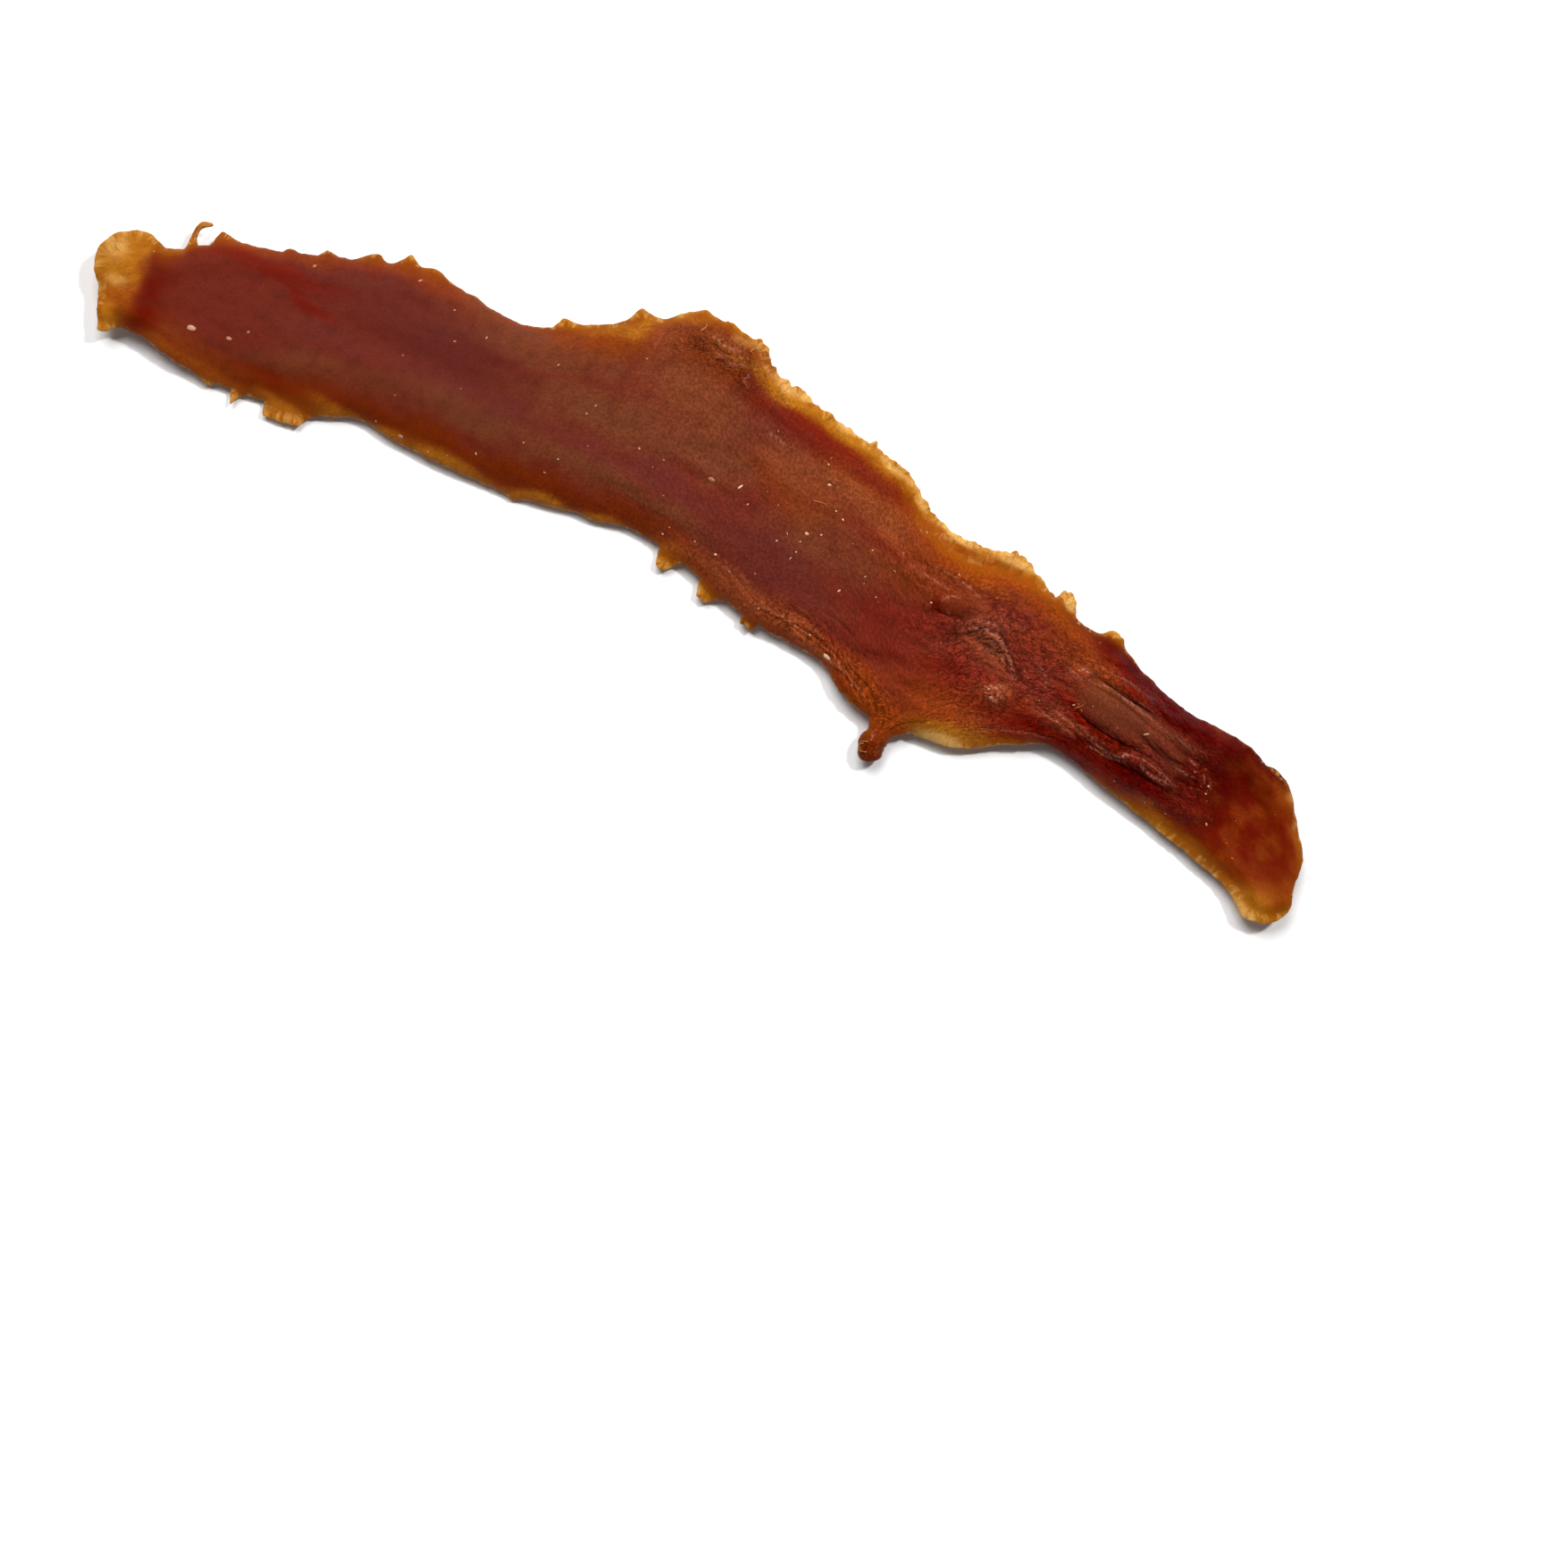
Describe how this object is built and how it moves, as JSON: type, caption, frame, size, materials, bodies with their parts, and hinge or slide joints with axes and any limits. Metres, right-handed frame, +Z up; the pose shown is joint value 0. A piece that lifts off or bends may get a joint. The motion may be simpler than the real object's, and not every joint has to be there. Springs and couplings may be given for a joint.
{
  "type": "dried duck jerky strip",
  "caption": "Crooked flat strip of dried duck meat with a frilled thin edge, a small knob on one side and ends that curl up, lying broad face up.",
  "frame": {"origin": "middle of the bounding box, at the height of the surface that the strip lies on", "axes": "+X along the strip towards the narrow wrinkled end, +Y towards the frilled edge, +Z up out of the broad face that shows"},
  "size_m": [0.1218, 0.0296, 0.0048],
  "materials": {
    "dried_meat": "satin"
  },
  "bodies": {
    "root": {"jerky_strip": "dried_meat"}
  },
  "joints": []
}
